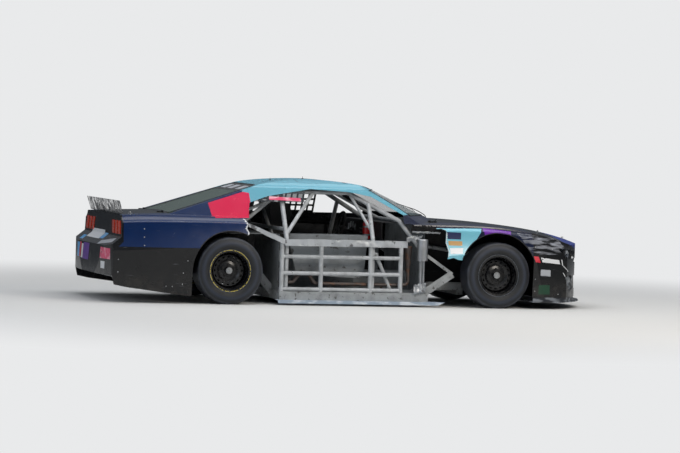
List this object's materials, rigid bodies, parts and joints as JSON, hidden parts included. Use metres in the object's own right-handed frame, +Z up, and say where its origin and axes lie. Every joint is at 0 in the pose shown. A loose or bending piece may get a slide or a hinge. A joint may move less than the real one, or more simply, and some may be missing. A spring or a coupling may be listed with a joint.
{
  "type": "stock car",
  "caption": "Closed-body stock car on slick tyres, its right side torn open to the tube frame, with opening hood and rear lid, steering and rolling wheels.",
  "frame": {"origin": "on the ground, under the middle of the car's overall length and width", "axes": "+X is forward, +Y is the car's left, +Z is up"},
  "size_m": [5.0578, 1.9464, 1.226],
  "materials": {
    "paint_turquoise": "gloss",
    "paint_navy": "gloss",
    "paint_black": "gloss",
    "lamp_lens": "gloss",
    "window_glass": "gloss",
    "frame_paint": "satin",
    "bare_sheet": "brushed",
    "engine_metal": "matte",
    "cell_shell": "matte",
    "axle_steel": "satin",
    "wheel_steel": "satin",
    "tyre_rubber": "matte",
    "seat_shell": "matte",
    "wheel_grip": "matte",
    "exhaust_steel": "rough",
    "tank_metal": "satin",
    "spoiler_sheet": "satin",
    "splitter_board": "matte",
    "skirt_sheet": "matte",
    "net_webbing": "matte"
  },
  "bodies": {
    "chassis": {"roof": "paint_turquoise", "quarter_left": "paint_navy", "quarter_right": "paint_navy", "rear_bumper": "paint_black", "filler_panel": "paint_navy", "cowl": "paint_navy", "fender_left": "paint_navy", "fender_right": "paint_navy", "door_left": "paint_black", "nose": "paint_black", "headlights": "lamp_lens", "windshield": "window_glass", "rear_window": "window_glass", "quarter_windows": "window_glass", "frame": "frame_paint", "main_hoop": "frame_paint", "halo": "frame_paint", "door_bars": "frame_paint", "sill_beam": "bare_sheet", "floor_pan": "bare_sheet", "tins": "bare_sheet", "engine": "engine_metal", "fuel_cell": "cell_shell", "rear_axle": "axle_steel", "suspension": "axle_steel", "seat": "seat_shell", "dashboard": "bare_sheet", "exhaust": "exhaust_steel", "oil_tank": "tank_metal", "splitter": "splitter_board", "side_skirts": "skirt_sheet", "window_net": "net_webbing"},
    "hood_lid": {"hood": "paint_black"},
    "rear_lid": {"deck_lid": "paint_navy", "spoiler": "spoiler_sheet"},
    "upright_right": {"knuckle_right": "axle_steel"},
    "upright_left": {"knuckle_left": "axle_steel"},
    "front_wheel_right": {"wheel_front_right": "wheel_steel", "tyre_front_right": "tyre_rubber"},
    "front_wheel_left": {"wheel_front_left": "wheel_steel", "tyre_front_left": "tyre_rubber"},
    "rear_wheel_right": {"wheel_rear_right": "wheel_steel", "tyre_rear_right": "tyre_rubber"},
    "rear_wheel_left": {"wheel_rear_left": "wheel_steel", "tyre_rear_left": "tyre_rubber"},
    "cross_link": {"steering_link": "axle_steel"},
    "hand_wheel": {"steering_wheel": "wheel_grip"}
  },
  "joints": [
    {"name": "hood_hinge", "type": "hinge", "parent": "chassis", "child": "hood_lid", "pos_m": [0.79963, 0, 0.84719], "axis": [0, -1, 0], "range_deg": [0, 60]},
    {"name": "rear_lid_hinge", "type": "hinge", "parent": "chassis", "child": "rear_lid", "pos_m": [-1.89, 0, 0.88504], "axis": [0, 1, 0], "range_deg": [0, 45]},
    {"name": "steer_right", "type": "hinge", "parent": "chassis", "child": "upright_right", "pos_m": [1.439, -0.73, 0.328], "axis": [0, 0, 1], "range_deg": [-22, 22]},
    {"name": "steer_left", "type": "hinge", "parent": "chassis", "child": "upright_left", "pos_m": [1.439, 0.73, 0.328], "axis": [0, 0, 1], "range_deg": [-22, 22]},
    {"name": "link_slide", "type": "slide", "parent": "chassis", "child": "cross_link", "axis": [0, 1, 0], "range_m": [-0.0445, 0.0445]},
    {"name": "hand_wheel_turn", "type": "hinge", "parent": "chassis", "child": "hand_wheel", "pos_m": [0.139, 0.4, 0.735], "axis": [-0.9613, 0, 0.2756], "range_deg": [-266, 266]},
    {"name": "spin_front_right", "type": "hinge", "parent": "upright_right", "child": "front_wheel_right", "pos_m": [1.439, -0.792, 0.328], "axis": [0, 1, 0], "continuous": true},
    {"name": "spin_front_left", "type": "hinge", "parent": "upright_left", "child": "front_wheel_left", "pos_m": [1.439, 0.792, 0.328], "axis": [0, 1, 0], "continuous": true},
    {"name": "spin_rear_right", "type": "hinge", "parent": "chassis", "child": "rear_wheel_right", "pos_m": [-1.304, -0.792, 0.328], "axis": [0, 1, 0], "continuous": true},
    {"name": "spin_rear_left", "type": "hinge", "parent": "chassis", "child": "rear_wheel_left", "pos_m": [-1.304, 0.792, 0.328], "axis": [0, 1, 0], "continuous": true}
  ],
  "couplings": [
    {"joint": "steer_left", "follows": "steer_right", "ratio": 1},
    {"joint": "link_slide", "follows": "steer_right", "m_per_rad": 0.115},
    {"joint": "hand_wheel_turn", "follows": "steer_right", "ratio": 12}
  ]
}
